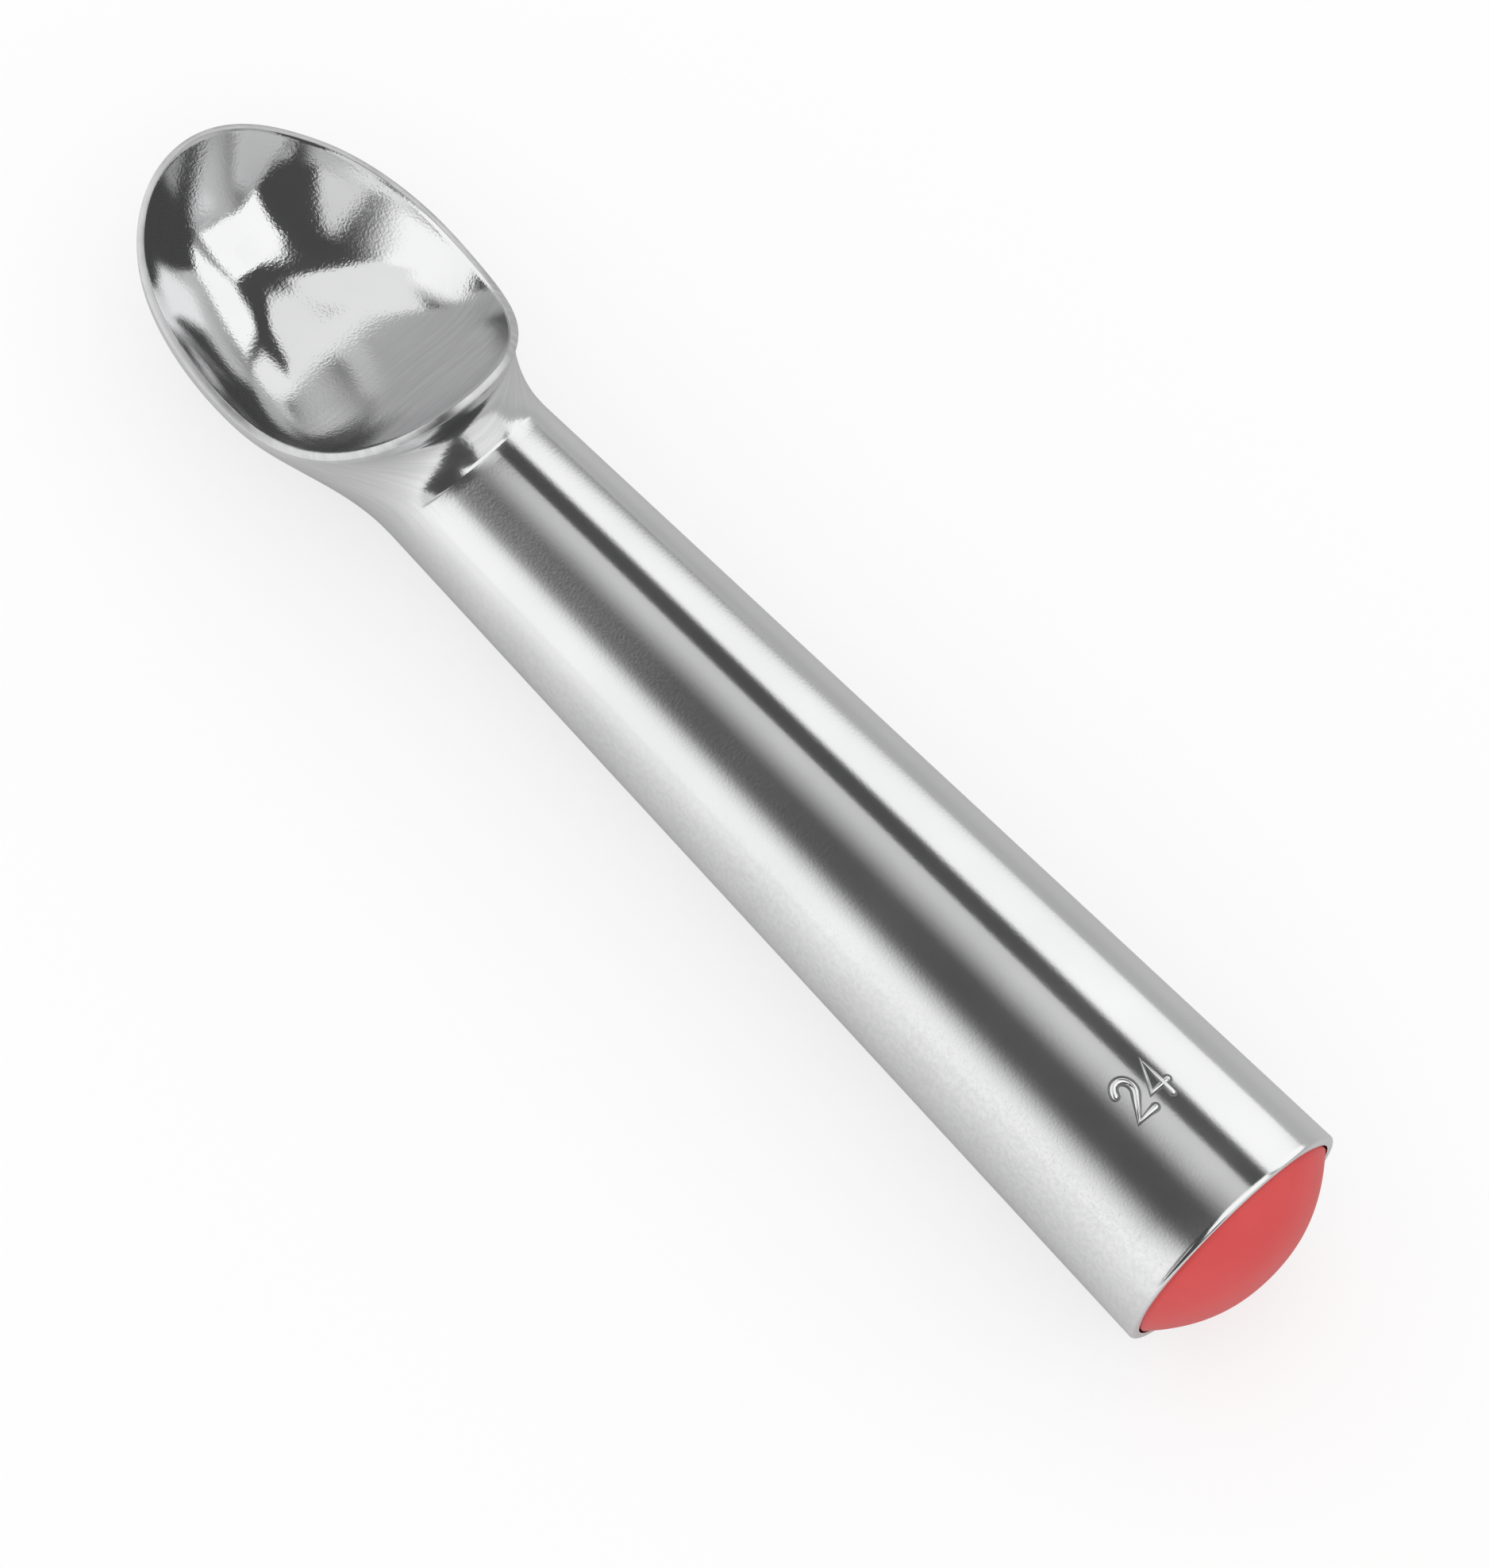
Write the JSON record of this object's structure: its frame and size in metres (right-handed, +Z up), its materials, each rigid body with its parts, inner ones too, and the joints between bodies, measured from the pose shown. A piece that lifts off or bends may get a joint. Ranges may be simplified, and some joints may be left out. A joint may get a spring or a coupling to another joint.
{
  "type": "ice cream scoop",
  "caption": "One-piece cast ice cream scoop with an egg-shaped bowl and a hollow tapered handle that holds a warming fluid, closed by a sealed plug and a domed end cap.",
  "frame": {"origin": "on the table, below the middle of the scoop's box, with the scoop lying on its back", "axes": "+X from the bowl's tip to the end cap, +Z up out of the bowl, +Y across"},
  "size_m": [0.1782, 0.0342, 0.0337],
  "materials": {
    "polished_aluminium": "polished casting with a bright tumbled skin",
    "heat_fluid": "clear fluid, stood in for by a light plastic",
    "turned_aluminium": "plain turned metal",
    "black_rubber": "matt rubber",
    "red_plastic": "smooth satin moulded plastic"
  },
  "bodies": {
    "root": {"scoop_body": "polished_aluminium", "heat_fluid": "heat_fluid", "sealing_plug": "turned_aluminium", "plug_seal_ring": "black_rubber", "end_cap": "red_plastic"}
  },
  "joints": []
}
